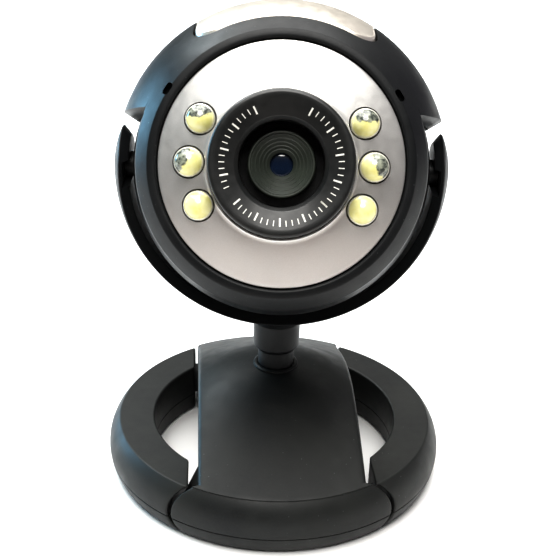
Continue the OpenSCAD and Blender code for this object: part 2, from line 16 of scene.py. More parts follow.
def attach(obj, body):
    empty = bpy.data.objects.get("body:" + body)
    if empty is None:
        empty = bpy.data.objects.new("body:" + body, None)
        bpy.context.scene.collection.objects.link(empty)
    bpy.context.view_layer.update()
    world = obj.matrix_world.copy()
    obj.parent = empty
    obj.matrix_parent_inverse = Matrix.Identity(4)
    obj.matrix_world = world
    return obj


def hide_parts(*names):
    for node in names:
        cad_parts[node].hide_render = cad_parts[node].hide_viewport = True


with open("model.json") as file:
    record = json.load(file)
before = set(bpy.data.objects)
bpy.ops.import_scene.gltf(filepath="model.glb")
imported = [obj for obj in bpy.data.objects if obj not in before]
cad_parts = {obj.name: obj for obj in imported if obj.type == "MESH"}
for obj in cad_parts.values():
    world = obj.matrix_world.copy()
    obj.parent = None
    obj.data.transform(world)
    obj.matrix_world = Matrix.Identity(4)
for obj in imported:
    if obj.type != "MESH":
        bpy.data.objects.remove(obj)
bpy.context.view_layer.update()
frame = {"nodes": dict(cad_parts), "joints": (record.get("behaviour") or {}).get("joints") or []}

MM = 0.001
JOINTS = {j["name"]: j for j in frame["joints"]}


# ---------- frames ----------
def frame_of(x, y, z, origin):
    """Millimetres along three axes to metres in the scene."""
    turn = Matrix((x, y, z)).transposed().to_4x4()
    return Matrix.Translation(origin) @ turn @ Matrix.Scale(MM, 4)


CENTRE = Vector(JOINTS["head_tilt"]["pos_m"])
RIGHT = Vector(JOINTS["head_tilt"]["axis"]).normalized()
FORWARD = Vector(JOINTS["focus_turn"]["axis"]).normalized()
UPWARD = FORWARD.cross(RIGHT).normalized()
VERTICAL = Vector((0, 0, 1))
BACKWARD = VERTICAL.cross(RIGHT).normalized()

OPTIC = frame_of(RIGHT, UPWARD, FORWARD, CENTRE)
YOKE = frame_of(RIGHT, BACKWARD, VERTICAL, CENTRE)
STAND = Matrix.Scale(MM, 4)
HEAD_Z = CENTRE.z / MM


# ---------- outlines ----------
def arc(cx, cy, r, a0, a1, n):
    """n + 1 points round a centre, from angle a0 to a1 in degrees."""
    angles = np.radians(np.linspace(a0, a1, n + 1))
    return [(cx + r * math.cos(a), cy + r * math.sin(a)) for a in angles]


def rounded(points, n=4):
    """A closed outline of (x, y) or (x, y, radius) points, with each given radius as an arc."""
    out = []
    for i, p in enumerate(points):
        here = Vector(p[:2])
        if len(p) < 3:
            out.append(tuple(here))
            continue
        before = Vector(points[i - 1][:2]) - here
        after = Vector(points[(i + 1) % len(points)][:2]) - here
        half = before.angle(after) / 2
        cut = min(p[2] / math.tan(half), 0.49 * before.length, 0.49 * after.length)
        r = cut * math.tan(half)
        before.normalize()
        after.normalize()
        middle = here + (before + after).normalized() * (r / math.sin(half))
        start = here + before * cut - middle
        end = here + after * cut - middle
        turn = math.atan2(start.x * end.y - start.y * end.x, start.dot(end))
        for k in range(n + 1):
            a = turn * k / n
            c, s = math.cos(a), math.sin(a)
            out.append((middle.x + start.x * c - start.y * s, middle.y + start.x * s + start.y * c))
    return out


def shrunk(outline, by):
    """A closed outline moved inwards by a small distance."""
    p = np.array(outline, float)
    edge = np.roll(p, -1, axis=0) - p
    normal = np.stack([edge[:, 1], -edge[:, 0]], axis=1)
    normal /= np.maximum(np.linalg.norm(normal, axis=1), 1e-9)[:, None]
    corner = normal + np.roll(normal, 1, axis=0)
    corner /= np.maximum(np.linalg.norm(corner, axis=1), 1e-9)[:, None]
    area = np.sum(p[:, 0] * np.roll(p[:, 1], -1) - np.roll(p[:, 0], -1) * p[:, 1])
    return p - corner * by * (1 if area > 0 else -1)


# ---------- solids: (points, faces) in millimetres ----------
def grid(points, wrap_rows=True, wrap_cols=True, caps=False):
    """Quads between the rows of a rows x cols x 3 array. Caps close the first and last row."""
    rows, cols = points.shape[:2]
    faces = []
    for i in range(rows if wrap_rows else rows - 1):
        for j in range(cols if wrap_cols else cols - 1):
            i2, j2 = (i + 1) % rows, (j + 1) % cols
            faces.append((i * cols + j, i2 * cols + j, i2 * cols + j2, i * cols + j2))
    if caps:
        faces.append(tuple(range(cols)))
        faces.append(tuple(reversed(range((rows - 1) * cols, rows * cols))))
    return points.reshape(-1, 3), faces


def lathe(outline, steps=160):
    """A closed (radius, height) outline turned round the third axis."""
    p = np.array(outline, float)
    a = np.linspace(0, 2 * math.pi, steps, endpoint=False)[:, None]
    height = np.broadcast_to(p[:, 1], (steps, len(p)))
    return grid(np.stack([p[:, 0] * np.cos(a), p[:, 0] * np.sin(a), height], axis=2))


def moved(solid, offset=(0, 0, 0), turn=None):
    """A solid after a turn (a 3 x 3 matrix) and an offset."""
    points, faces = solid
    points = np.array(points, float)
    if turn is not None:
        points = points @ np.array(turn, float).T
    return points + np.array(offset, float), faces


def prism(outline, low, high):
    """An outline in x and y, between two heights."""
    p = np.array(outline, float)
    rows = [np.column_stack([p, np.full(len(p), h)]) for h in (low, high)]
    return grid(np.stack(rows), wrap_rows=False, caps=True)


def slot_outline(length, width, n=10):
    """A slot with round ends, longest along x."""
    half = (length - width) / 2
    return arc(half, 0, width / 2, -90, 90, n) + arc(-half, 0, width / 2, 90, 270, n)


def drum(r, low, high, steps=64):
    """A cylinder on the third axis, between two heights."""
    return prism(arc(0, 0, r, 0, 360 - 360 / steps, steps - 1), low, high)


def along_x(solid):
    """Stands a solid made along the third axis on the first axis."""
    return moved(solid, turn=((0, 0, 1), (0, 1, 0), (-1, 0, 0)))


def turned(angle):
    """The turn by an angle in degrees round the third axis."""
    c, s = math.cos(math.radians(angle)), math.sin(math.radians(angle))
    return ((c, -s, 0), (s, c, 0), (0, 0, 1))


def merged(solids):
    """Several solids as one."""
    points, faces = [], []
    for some_points, some_faces in solids:
        faces += [tuple(i + len(points) for i in face) for face in some_faces]
        points += some_points.tolist()
    return points, faces


# ---------- objects ----------
def raw_object(name, solids):
    """One object from solids in millimetres. Each solid is welded on its own."""
    mesh = bpy.data.meshes.new(name)
    bm = bmesh.new()
    for points, faces in solids:
        verts = [bm.verts.new(p) for p in points]
        for face in faces:
            bm.faces.new([verts[i] for i in face])
        bmesh.ops.remove_doubles(bm, verts=verts, dist=1e-4)
    bmesh.ops.recalc_face_normals(bm, faces=bm.faces)
    bm.to_mesh(mesh)
    bm.free()
    obj = bpy.data.objects.new(name, mesh)
    bpy.context.scene.collection.objects.link(obj)
    return obj


def carve(obj, solids):
    """Cuts solids out of an object, both still in millimetres."""
    cutter = raw_object("cutter", solids)
    cut = obj.modifiers.new("cut", "BOOLEAN")
    cut.object = cutter
    cut.solver = "EXACT"
    cut.use_self = len(solids) > 1
    graph = bpy.context.evaluated_depsgraph_get()
    mesh = bpy.data.meshes.new_from_object(obj.evaluated_get(graph))
    obj.modifiers.clear()
    obj.data = mesh
    bpy.data.objects.remove(cutter)


def join(obj, other):
    """Adds another object's mesh to this one, both in millimetres."""
    bm = bmesh.new()
    bm.from_mesh(obj.data)
    bm.from_mesh(other.data)
    bm.to_mesh(obj.data)
    bm.free()
    bpy.data.objects.remove(other)


def sphere_normals(obj, radius):
    """True normals on the faces that lie on a sphere round the head's centre."""
    mesh = obj.data
    co = np.zeros(len(mesh.vertices) * 3)
    mesh.vertices.foreach_get("co", co)
    out = co.reshape(-1, 3) - np.array(CENTRE)
    far = np.linalg.norm(out, axis=1)
    on = np.abs(far - radius * MM) < 0.02 * MM
    out /= np.maximum(far, 1e-9)[:, None]
    normals = np.zeros(len(mesh.loops) * 3)
    mesh.corner_normals.foreach_get("vector", normals)
    normals = normals.reshape(-1, 3)
    for face in mesh.polygons:
        if all(on[v] for v in face.vertices):
            for loop in face.loop_indices:
                normals[loop] = out[mesh.loops[loop].vertex_index]
    mesh.normals_split_custom_set(normals.tolist())


def finish(obj, place, body, material, nodes=(), sharp=38, weighted=True):
    """Places an object, shades it, gives it its material, parents it to its body's empty and hides the CAD
    nodes it stands in for.
    """
    mesh = obj.data
    mesh.transform(place)
    mesh.shade_smooth()
    mesh.set_sharp_from_angle(angle=math.radians(sharp))
    if weighted:
        even = obj.modifiers.new("even normals", "WEIGHTED_NORMAL")
        even.keep_sharp = True
    mesh.materials.clear()
    mesh.materials.append(material)
    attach(obj, body)
    if nodes:
        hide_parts(*nodes)
    return obj


# ---------- materials ----------
def node(tree, kind, inputs=None, **settings):
    """A shader node, with each input linked to a socket or set to a value."""
    made = tree.nodes.new("ShaderNode" + kind)
    for key, value in settings.items():
        setattr(made, key, value)
    for key, value in (inputs or {}).items():
        if isinstance(value, bpy.types.NodeSocket):
            tree.links.new(value, made.inputs[key])
        else:
            made.inputs[key].default_value = value
    return made


def mixed(tree, share, a, b):
    """One colour faded into another. Each of the three is a socket or a value."""
    made = node(tree, "Mix", data_type="RGBA")
    for socket, value in ((made.inputs[0], share), (made.inputs[6], a), (made.inputs[7], b)):
        if isinstance(value, bpy.types.NodeSocket):
            tree.links.new(value, socket)
        else:
            socket.default_value = (*value, 1) if isinstance(value, tuple) else value
    return made.outputs[2]


class Finish:
    """A material with one Principled shader, and short names for the patterns that feed it."""

    def __init__(self, name, **constants):
        self.material = bpy.data.materials.new(name)
        self.material.use_nodes = True
        self.tree = self.material.node_tree
        self.shader = self.tree.nodes["Principled BSDF"]
        self.place = node(self.tree, "TexCoord").outputs["Object"]
        for key, value in constants.items():
            self.shader.inputs[key.replace("_", " ")].default_value = value

    def link(self, socket, value):
        self.tree.links.new(value, self.shader.inputs[socket])

    def noise(self, per_metre, detail=3.0):
        wave = node(self.tree, "TexNoise", {"Vector": self.place, "Scale": per_metre, "Detail": detail})
        return wave.outputs["Fac"]

    def ramp(self, value, low, high, to_low=0.0, to_high=1.0):
        inputs = {"Value": value, "From Min": low, "From Max": high, "To Min": to_low, "To Max": to_high}
        return node(self.tree, "MapRange", inputs).outputs["Result"]

    def mix(self, share, a, b):
        return mixed(self.tree, share, a, b)

    def specks(self, per_metre, size):
        """Small separate dots, as dust."""
        cells = node(self.tree, "TexVoronoi", {"Vector": self.place, "Scale": per_metre})
        return self.ramp(cells.outputs["Distance"], size, size * 0.6)

    def maths(self, operation, a, b):
        return node(self.tree, "Math", {0: a, 1: b}, operation=operation).outputs[0]

    def bump(self, height, depth, strength):
        inputs = {"Height": height, "Distance": depth, "Strength": strength}
        self.link("Normal", node(self.tree, "Bump", inputs).outputs["Normal"])


def moulded_plastic(name, dark, light, rough, dust=0.35):
    """Satin moulded plastic: slow mottling, a fine eroded grain and a little dust."""
    f = Finish(name, Specular_IOR_Level=0.32)
    specks = f.maths("MULTIPLY", f.specks(760, 0.085), f.ramp(f.noise(55), 0.42, 0.62, 0, dust))
    body = f.mix(f.ramp(f.noise(70), 0.3, 0.7), dark, light)
    grain_wave = f.noise(2600, 2)
    body = f.mix(f.ramp(grain_wave, 0.35, 0.75, 0, 0.35), body, light)
    f.link("Base Color", f.mix(specks, body, (0.20, 0.22, 0.22)))
    f.link("Roughness", f.ramp(f.noise(420), 0.25, 0.75, rough - 0.05, rough + 0.08))
    f.bump(f.maths("ADD", grain_wave, specks), 0.02 * MM, 0.5)
    return f.material


def silver_paint(name, tint, rough):
    """Satin silver paint: fine flakes over smooth plastic."""
    f = Finish(name, Metallic=0.75, Coat_Weight=0.25, Coat_Roughness=0.12)
    flakes = node(f.tree, "TexVoronoi", {"Vector": f.place, "Scale": 9000}).outputs["Color"]
    flake = node(f.tree, "SeparateColor", {0: flakes}).outputs[0]
    shade = f.mix(f.ramp(f.noise(90), 0.3, 0.7), tint, tuple(c * 0.93 for c in tint))
    f.link("Base Color", f.mix(f.maths("MULTIPLY", flake, 0.12), shade, (0.95, 0.95, 0.95)))
    f.link("Roughness", f.ramp(f.noise(700), 0.3, 0.7, rough - 0.04, rough + 0.05))
    f.bump(f.noise(5200, 2), 0.002 * MM, 0.4)
    return f.material


def gloss_plastic(name, dark, light, rough, coat=0.3):
    """Smooth moulded plastic with faint wear and fine scratches."""
    f = Finish(name, Coat_Weight=coat, Coat_Roughness=0.1)
    f.link("Base Color", f.mix(f.ramp(f.noise(150), 0.35, 0.7), dark, light))
    f.link("Roughness", f.ramp(f.noise(900, 5), 0.3, 0.75, rough - 0.05, rough + 0.1))
    f.bump(f.noise(1500, 4), 0.005 * MM, 0.4)
    return f.material


def plated_steel(name, tint, rough):
    """Plated metal with a faint uneven polish."""
    f = Finish(name, Metallic=1.0)
    f.link("Base Color", f.mix(f.ramp(f.noise(1200), 0.3, 0.7), tint, tuple(c * 0.8 for c in tint)))
    f.link("Roughness", f.ramp(f.noise(2500), 0.3, 0.7, rough, rough + 0.15))
    f.bump(f.noise(4000), 0.004 * MM, 0.4)
    return f.material


def soft_rubber(name):
    """Matt black rubber with a coarse grain."""
    f = Finish(name, Specular_IOR_Level=0.35)
    f.link("Base Color", f.mix(f.ramp(f.noise(300), 0.3, 0.7), (0.018, 0.018, 0.018), (0.04, 0.04, 0.04)))
    f.link("Roughness", f.ramp(f.noise(1500), 0.3, 0.7, 0.7, 0.9))
    f.bump(f.noise(3200), 0.02 * MM, 0.5)
    return f.material


def solder_mask(name, base, track):
    """A circuit board: tracks show faintly under the coloured mask."""
    f = Finish(name, Coat_Weight=0.4, Coat_Roughness=0.2, Roughness=0.4)
    bricks = node(f.tree, "TexBrick", {"Vector": f.place, "Scale": 700.0, "Mortar Size": 0.08})
    lines = f.ramp(bricks.outputs["Fac"], 0.2, 0.8)
    f.link("Base Color", f.mix(f.maths("MULTIPLY", lines, f.noise(350)), base, track))
    f.bump(lines, 0.03 * MM, 0.5)
    return f.material


def clear_glass(name, tint):
    """Tinted glass with faint smears."""
    f = Finish(name, Transmission_Weight=1.0, IOR=1.52)
    f.link("Base Color", f.mix(f.noise(400), tint, tuple(c * 0.9 for c in tint)))
    f.link("Roughness", f.ramp(f.noise(900), 0.3, 0.7, 0.02, 0.05))
    return f.material


def coated_lens(name):
    """Dark glass with the blue bloom of its coating."""
    f = Finish(name, Coat_Weight=1.0, Coat_Roughness=0.02, Specular_IOR_Level=0.9)
    bloom = node(f.tree, "LayerWeight", {"Blend": 0.35}).outputs["Facing"]
    tint = f.mix(bloom, (0.012, 0.03, 0.075), (0.03, 0.012, 0.03))
    f.link("Base Color", f.mix(f.noise(500), tint, (0.005, 0.008, 0.02)))
    f.link("Roughness", f.ramp(f.noise(900), 0.3, 0.7, 0.04, 0.08))
    return f.material


def lamp_epoxy_painted_light(name):
    """Clear moulded epoxy over yellow phosphor, with a painted dark reflection on part of the dome and a
    painted bright edge ring, a painted highlight.

    The mesh carries how much phosphor shows at each point against the painted dark reflection, and how strong
    the painted bright edge ring is.
    """
    f = Finish(name, Coat_Weight=1.0, Coat_Roughness=0.03, Coat_IOR=1.55, Roughness=0.12)
    # phosphor attribute: 1 shows the yellow phosphor, lower values show the painted dark reflection
    phosphor_against_painted_dark = node(f.tree, "Attribute", attribute_name="phosphor").outputs["Fac"]
    painted_rim_highlight = node(f.tree, "Attribute", attribute_name="painted_rim_highlight").outputs["Fac"]
    ripple = f.maths("ADD", phosphor_against_painted_dark, f.ramp(f.noise(900), 0.3, 0.7, -0.22, 0.22))
    phosphor = f.mix(f.ramp(f.noise(600), 0.3, 0.7), (0.84, 0.80, 0.30), (0.93, 0.91, 0.52))
    # painted dark reflection on the dome, not a lead frame
    metal = f.mix(f.ramp(f.noise(1400), 0.42, 0.6), (0.05, 0.06, 0.05), (0.33, 0.35, 0.28))
    inside = f.mix(f.ramp(ripple, 0.42, 0.58), metal, phosphor)
    # painted highlight: a pale edge ring round each dome
    f.link("Base Color", f.mix(painted_rim_highlight, inside, (0.86, 0.85, 0.74)))
    return f.material


BLACK = moulded_plastic("satin black", (0.007, 0.008, 0.009), (0.014, 0.015, 0.0158), 0.40)
# painted sheen: the stand's black is a lighter copy of the head's, its base raised to stand in for the soft
# sheen on the stand
STAND_BLACK_PAINTED_SHEEN = moulded_plastic("stand black", (0.010, 0.011, 0.0115), (0.021, 0.0222, 0.0205), 0.46)
INNER = moulded_plastic("inner black", (0.008, 0.008, 0.009), (0.015, 0.015, 0.016), 0.55, dust=0.1)
GLOSS = gloss_plastic("ring black", (0.012, 0.013, 0.013), (0.021, 0.0215, 0.021), 0.36, coat=0.2)
BARREL = gloss_plastic("barrel black", (0.030, 0.036, 0.029), (0.055, 0.066, 0.052), 0.42, coat=0.15)
SILVER = silver_paint("satin silver", (0.74, 0.73, 0.71), 0.34)
WARM_SILVER = silver_paint("button silver", (0.84, 0.78, 0.70), 0.36)
RUBBER = soft_rubber("rubber")
STEEL = plated_steel("zinc plate", (0.62, 0.62, 0.60), 0.28)
SPRING = plated_steel("spring wire", (0.45, 0.45, 0.47), 0.22)
CAN = plated_steel("microphone can", (0.74, 0.74, 0.75), 0.3)
LENS = coated_lens("coated lens")
GLASS = clear_glass("rear lens glass", (0.8, 0.87, 0.96))
FILTER = clear_glass("infrared filter", (0.85, 0.5, 0.5))
# lamp material with painted dark reflections and painted bright edge rings
LAMP_PAINTED_LIGHT = lamp_epoxy_painted_light("lamp epoxy")
GREEN_BOARD = solder_mask("green board", (0.01, 0.10, 0.035), (0.04, 0.22, 0.08))
WHITE_BOARD = solder_mask("white board", (0.72, 0.74, 0.71), (0.55, 0.57, 0.55))
CERAMIC = gloss_plastic("sensor ceramic", (0.05, 0.045, 0.06), (0.12, 0.1, 0.14), 0.2)
CREAM = gloss_plastic("connector cream", (0.66, 0.62, 0.5), (0.76, 0.72, 0.6), 0.5, coat=0.1)
PRINT = gloss_plastic("scale print", (0.75, 0.75, 0.70), (0.86, 0.86, 0.81), 0.55, coat=0.0)


# ---------- head: t is the distance from the head's centre along the lens axis ----------
HOOD_R = 27.4
HOOD_IN_R = 25.0
CUP_R = 24.5
CUP_IN_R = 22.7
CUP_FRONT_T = 12.0
SEAM_T = 15.6
BEZEL_BACK_T = 12.1
BEZEL_LIP_T = 18.5
SPIGOT_R = 18.95
SPIGOT_IN_R = 18.0
SPIGOT_END_T = 9.6
LEDGE_R = 16.4
LEDGE_BACK_T = 11.3
MIC_SLOT_R = 20.6
MIC_SLOT_ANGLES = (32, 148)
PLATE_R = 18.7
PLATE_BACK_T = 17.2
PLATE_RIM_T = 18.2
PLATE_HOLE_R = 11.1
PLATE_HOLE_T = 20.46
BUTTON_HW = 14.0
BUTTON_BACK_T = -9.0
BUTTON_FRONT_T = 15.0
BUTTON_CORNER = 4.0
BUTTON_GAP = 0.35
BUTTON_IN_R = 25.9
LED_RING_R = 13.9
LED_STEP = 27.7
LED_R = 2.3
LED_DOME_T = 19.3
POST_PLACES = ((14.4, 8.3), (-14.4, 8.3), (0, -16.6))
POST_R = 2.0
TRUNNION_R = 2.1
TRUNNION_X = (23.5, 26.6)
CABLE_HOLE_R = 3.0
CABLE_R = 2.05


def on_sphere(radius, r):
    """Height on a sphere at distance r from its axis."""
    return math.sqrt(radius * radius - r * r)


def button_edge(direction, grow):
    """Distance from the head's upward axis to the button's outline in one (x, t) direction."""
    middle = (BUTTON_BACK_T + BUTTON_FRONT_T) / 2
    hx, hy = BUTTON_HW + grow, (BUTTON_FRONT_T - BUTTON_BACK_T) / 2 + grow
    corner = BUTTON_CORNER + grow
    near, beyond = 0.0, 40.0
    for _ in range(40):
        r = (near + beyond) / 2
        x = abs(r * direction[0]) - hx + corner
        y = abs(r * direction[1] - middle) - hy + corner
        outside = math.hypot(max(x, 0), max(y, 0)) + min(max(x, y), 0) - corner
        near, beyond = (near, r) if outside > 0 else (r, beyond)
    return near


def round_the_top(profile_at, steps=288):
    """A closed solid from the (r, height) outline in each direction round the head's upward axis."""
    rows = []
    for a in np.linspace(0, 2 * math.pi, steps, endpoint=False):
        direction = (math.sin(a), math.cos(a))
        rows.append([(r * direction[0], w, r * direction[1]) for r, w in profile_at(direction)])
    return grid(np.array(rows))


def hood_profile(direction):
    """From the button's hole over the outside to the hood's edge, and back along the inside."""
    fillet, low_out, low_in, no_limit = 0.22, 8.3, 6.95, 99
    hole = button_edge(direction, BUTTON_GAP)
    seam = SEAM_T / direction[1] if direction[1] > 0.05 else no_limit
    out_r = min(on_sphere(HOOD_R, low_out), seam)
    in_r = min(on_sphere(HOOD_IN_R, low_in), seam)
    top = on_sphere(HOOD_R, hole + fillet)
    points = [(hole, on_sphere(HOOD_IN_R, hole)), (hole, top - fillet * 2)]
    points += arc(hole + fillet, top - fillet, fillet, 180, 100, 4)
    start = math.asin((hole + fillet) / HOOD_R)
    end = math.asin(out_r / HOOD_R)
    for k in range(1, 27):
        a = start + (end - start) * k / 26
        points.append((HOOD_R * math.sin(a), HOOD_R * math.cos(a)))
    ease = 0 if out_r == seam else 0.1
    points.append((out_r - ease, on_sphere(HOOD_R, out_r) - 0.12))
    points.append((in_r, on_sphere(HOOD_IN_R, in_r)))
    start, end = math.asin(in_r / HOOD_IN_R), math.asin(hole / HOOD_IN_R)
    for k in range(1, 12):
        a = start + (end - start) * k / 12
        points.append((HOOD_IN_R * math.sin(a), HOOD_IN_R * math.cos(a)))
    return points


def bezel_ring(steps=288):
    """The ring in front, which meets the hood above and has a rounded outer corner below it."""
    side_r, inner_r, hood_meets = 22.52, 24.95, 0.335
    lip_r, seat_r = PLATE_R + 0.25, PLATE_R - 1.2
    under = [(SPIGOT_R, BEZEL_BACK_T), (side_r - 0.32, BEZEL_BACK_T), (side_r - 0.09, 12.2),
             (side_r, 12.45), (side_r, 15.0), (side_r - 0.03, 15.35), (side_r - 0.11, 15.65)]
    above = [(on_sphere(inner_r, t), t) for t in (BEZEL_BACK_T, 13.0, 13.8, 14.8, SEAM_T)]
    above = [under[0], *above, (on_sphere(HOOD_R, SEAM_T), SEAM_T)]
    steep = math.degrees(math.asin((SEAM_T + 0.25) / HOOD_R))
    face = arc(0, 0, HOOD_R, steep, math.degrees(math.acos((lip_r + 1.45) / HOOD_R)), 18)
    face += [(lip_r + out, BEZEL_LIP_T - back) for out, back in
             ((1.2, 0.12), (0.9, 0.05), (0.6, 0.01), (0.35, 0), (0.14, 0.05), (0.03, 0.16), (0, 0.3))]
    face += [(lip_r, PLATE_BACK_T), (seat_r, PLATE_BACK_T), (seat_r, LEDGE_BACK_T + 1),
             (LEDGE_R, LEDGE_BACK_T + 1), (LEDGE_R, LEDGE_BACK_T), (SPIGOT_IN_R, LEDGE_BACK_T),
             (SPIGOT_IN_R, SPIGOT_END_T), (SPIGOT_R, SPIGOT_END_T)]
    rows = []
    for a in np.linspace(0, 2 * math.pi, steps, endpoint=False):
        outline = (above if math.sin(a) > hood_meets else under) + face
        rows.append([(r * math.cos(a), r * math.sin(a), t) for r, t in outline])
    return grid(np.array(rows))


def make_hood():
    """The black front: bezel with its microphone slots, hood, and the posts that take the screws."""
    half, depth, corner = 1.0, 0.5, 0.48
    obj = raw_object("hood_bezel_moulding", [bezel_ring()])
    slot = prism(rounded([(-half, -depth, corner), (half, -depth, corner), (half, depth, corner),
                          (-half, depth, corner)], 6), 13.0, 19.0)
    slot = moved(moved(slot, turn=turned(90)), offset=(MIC_SLOT_R, 0, 0))
    carve(obj, [moved(slot, turn=turned(side)) for side in MIC_SLOT_ANGLES])
    posts = [moved(drum(POST_R, 1, LEDGE_BACK_T + 1, 32), offset=(*at, 0)) for at in POST_PLACES]
    join(obj, raw_object("hood_shell", [round_the_top(hood_profile)]))
    join(obj, raw_object("hood_posts", posts))
    finish(obj, OPTIC, "head", BLACK, ["hood_bezel"], weighted=False)
    sphere_normals(obj, HOOD_R)


def button_profile(direction):
    """From the middle of the button over its rounded edge, and back along the inside."""
    fillet = 0.3
    edge = button_edge(direction, 0)
    reach = edge - fillet
    points = [(reach * k / 22, on_sphere(HOOD_R, reach * k / 22)) for k in range(23)]
    points += arc(reach, on_sphere(HOOD_R, reach) - fillet, fillet, 80, 0, 5)
    points += [(edge * k / 8, on_sphere(BUTTON_IN_R, edge * k / 8)) for k in range(8, -1, -1)]
    return points


def make_button():
    """The silver button, and the plunger that reaches down to its switch."""
    r, foot, top, switch_t = 1.6, 16.4, 26.0, -5.4
    plunger = lathe([(0, foot), (r - 0.2, foot), (r, foot + 0.2), (r, top), (0, top)], 32)
    plunger = moved(plunger, offset=(0, 0, switch_t), turn=((1, 0, 0), (0, 0, 1), (0, -1, 0)))
    obj = raw_object("snapshot_button_cap", [round_the_top(button_profile, 240), plunger])
    finish(obj, OPTIC, "button", WARM_SILVER, ["snapshot_button"], weighted=False)
    sphere_normals(obj, HOOD_R)


def lamp_places():
    """Centre of each lamp: three on the right from the bottom up, then three on the left downwards."""
    for side in (0, 180):
        for i in (-1, 0, 1):
            a = math.radians(side + i * LED_STEP)
            yield LED_RING_R * math.cos(a), LED_RING_R * math.sin(a)


def make_face_plate():
    """The silver plate: a shallow cone that rises to the focus ring, with holes for the lamps."""
    low_r, high_r, rise, bend = PLATE_R - 0.2, PLATE_HOLE_R + 0.45, 2.12, 1.1
    crown = [low_r - (low_r - high_r) * k / 14 for k in range(15)]
    top = [(r, PLATE_RIM_T + rise * (1 - ((r - high_r) / (low_r - high_r)) ** bend)) for r in crown]
    outline = [(PLATE_R, PLATE_BACK_T), (PLATE_R, PLATE_RIM_T - 0.1, 0.08), *top,
               (PLATE_HOLE_R + 0.3, PLATE_HOLE_T, 0.1), (PLATE_HOLE_R, PLATE_HOLE_T, 0.12),
               (PLATE_HOLE_R, 19.3), (PLATE_R - 1.2, PLATE_BACK_T)]
    obj = raw_object("face_plate_trim", [lathe(rounded(outline), 256)])
    lamp_hole = drum(LED_R + 0.2, 14, 24, 72)
    carve(obj, [moved(lamp_hole, offset=(*at, 0)) for at in lamp_places()])
    finish(obj, OPTIC, "head", SILVER, ["face_plate"], sharp=30)


def smooth_step(low, high, value):
    """0 below low, 1 above high, and a smooth rise between them."""
    t = min(max((value - low) / (high - low), 0.0), 1.0)
    return t * t * (3 - 2 * t)


def make_lamps():
    """Six lamp domes, with a painted dark reflection to one side of the upper and middle ones and a painted
    bright edge ring on each.
    """
    flange_r, back_t, flange_t = 2.6, 14.6, 15.3
    # directions of the painted dark reflection on the upper and middle lamps
    upper, middle = (0.1, 0.8), (0.85, 0.35)
    painted_dark_sides = (None, middle, upper, upper, middle, None)
    outline = [(0, back_t), (flange_r, back_t), (flange_r, flange_t), (LED_R, flange_t)]
    outline += arc(0, LED_DOME_T, LED_R, 0, 90, 24)
    points, faces = lathe(outline, 64)
    solids, phosphor, painted_rim_highlight = [], [], []
    for at, dark in zip(lamp_places(), painted_dark_sides):
        outward = math.copysign(1, at[0])
        for x, y, _ in points:
            r = math.hypot(x, y) / LED_R
            # painted dark reflection: the phosphor value falls across the dome towards one side
            if dark:
                phosphor.append(0.5 - 1.6 * (x * outward * dark[0] + y * dark[1]) / LED_R + 0.35 * r)
            else:
                phosphor.append(1.0)
            # painted highlight: a bright edge ring near the dome's edge
            painted_rim_highlight.append(smooth_step(0.86, 0.93, r) * 0.9)
        solids.append(moved((points, faces), offset=(*at, 0)))
    mesh = bpy.data.meshes.new("lamp_domes")
    points, faces = merged(solids)
    mesh.from_pydata(points, [], faces)
    for name, values in (("phosphor", phosphor), ("painted_rim_highlight", painted_rim_highlight)):
        layer = mesh.attributes.new(name, "FLOAT", "POINT")
        layer.data.foreach_set("value", np.array(values, np.float32))
    bm = bmesh.new()
    bm.from_mesh(mesh)
    bmesh.ops.remove_doubles(bm, verts=bm.verts, dist=1e-4)
    bmesh.ops.recalc_face_normals(bm, faces=bm.faces)
    bm.to_mesh(mesh)
    bm.free()
    obj = bpy.data.objects.new("lamp_domes", mesh)
    bpy.context.scene.collection.objects.link(obj)
    finish(obj, OPTIC, "head", LAMP_PAINTED_LIGHT, ["led_lamps"], weighted=False)


def make_rear_cup():
    """The round back with its vents, cable hole, screw wells and trunnions."""
    past_back, inside, well_out_r, well_r, screw_r = -40, -10, 2.6, 2.1, 1.1
    well_back_t, well_seat_t, well_end_t = -17.0, -3, 0.9
    vent_lengths, vent_wide, vent_x, vent_step = (9, 7.4, 5.8), 1.2, 8.2, 2.4
    a_out = math.degrees(math.asin(CUP_FRONT_T / CUP_R))
    a_in = math.degrees(math.asin(CUP_FRONT_T / CUP_IN_R))
    outline = arc(0, 0, CUP_R, -90, a_out, 56) + arc(0, 0, CUP_IN_R, a_in, -90, 40)
    obj = raw_object("rear_cup_shell", [lathe(outline, 192)])
    well_hole = drum(well_r, past_back, well_seat_t, 40)
    cutters = [moved(well_hole, offset=(*at, 0)) for at in POST_PLACES]
    cutters.append(drum(CABLE_HOLE_R, past_back, -15, 48))
    for side in (-1, 1):
        for i, length in enumerate(vent_lengths):
            vent = prism(slot_outline(length, vent_wide), past_back, inside)
            cutters.append(moved(vent, (side * (vent_x + vent_step * i), 0, 0), turned(90)))
    carve(obj, cutters)
    near, end = TRUNNION_X
    extras = [along_x(drum(TRUNNION_R, near, end, 40)), along_x(drum(TRUNNION_R, -end, -near, 40))]
    well = lathe([(well_r, well_back_t), (well_out_r, well_back_t), (well_out_r, well_end_t),
                  (screw_r, well_end_t), (screw_r, well_seat_t), (well_r, well_seat_t)], 40)
    extras += [moved(well, offset=(*at, 0)) for at in POST_PLACES]
    join(obj, raw_object("trunnions", extras))
    finish(obj, OPTIC, "head", BLACK, ["rear_cup"], weighted=False)
    sphere_normals(obj, CUP_R)


